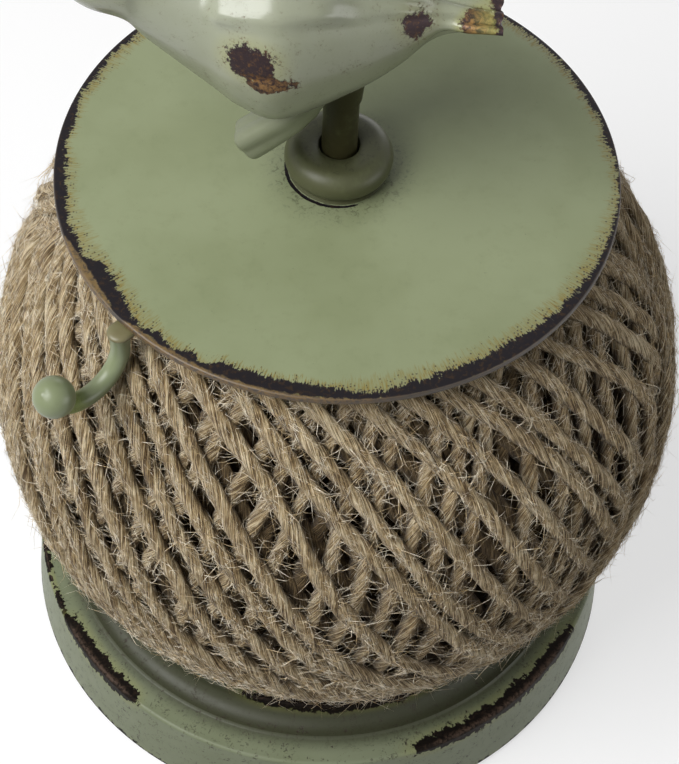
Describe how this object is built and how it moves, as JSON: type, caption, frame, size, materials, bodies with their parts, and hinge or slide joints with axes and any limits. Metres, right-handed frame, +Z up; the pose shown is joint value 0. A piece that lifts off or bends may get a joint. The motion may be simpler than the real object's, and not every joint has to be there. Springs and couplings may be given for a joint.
{
  "type": "table string holder",
  "caption": "Table string holder: stepped foot, ball of twine on a spindle, flat turning lid with a scissor hook, and a small bird as the finger grip.",
  "frame": {"origin": "on the table under the spindle's axis", "axes": "+Z up along the spindle, -Y towards the viewer of the picture, the bird's beak points to -X"},
  "size_m": [0.1268, 0.1268, 0.1849],
  "materials": {
    "sage_paint": "old sage green gloss paint, worn to dark metal on the rims",
    "plain_steel": "dull unpainted steel",
    "felt": "dark grey felt",
    "jute": "natural jute twine, fuzzy, cross-wound"
  },
  "bodies": {
    "base": {"foot_shell": "sage_paint", "felt_pads": "felt", "spindle_nut": "plain_steel"},
    "ball": {"twine_core": "jute", "twine_winding": "jute"},
    "lid_hub": {"lid_collar": "sage_paint", "collar_washer": "plain_steel"},
    "lid": {"lid_disc": "sage_paint", "scissor_hook": "sage_paint", "hook_bead": "sage_paint"},
    "spindle": {"spindle_rod": "sage_paint"},
    "bird": {"bird_body": "sage_paint"}
  },
  "joints": [
    {"name": "ball_spin", "type": "hinge", "parent": "base", "child": "ball", "pos_m": [0, 0, 0.072], "axis": [0, 0, 1], "continuous": true},
    {"name": "lid_slide", "type": "slide", "parent": "base", "child": "lid_hub", "axis": [0, 0, 1], "range_m": [0, 0.006]},
    {"name": "lid_turn", "type": "hinge", "parent": "lid_hub", "child": "lid", "pos_m": [0, 0, 0.126], "axis": [0, 0, 1], "continuous": true},
    {"name": "spindle_lift", "type": "slide", "parent": "base", "child": "spindle", "axis": [0, 0, 1], "range_m": [0, 0.008]},
    {"name": "bird_turn", "type": "hinge", "parent": "spindle", "child": "bird", "pos_m": [0, 0, 0.16], "axis": [0, 0, 1], "range_deg": [0, 2880]}
  ],
  "couplings": [
    {"joint": "spindle_lift", "follows": "bird_turn", "m_per_rad": 0.000159}
  ]
}
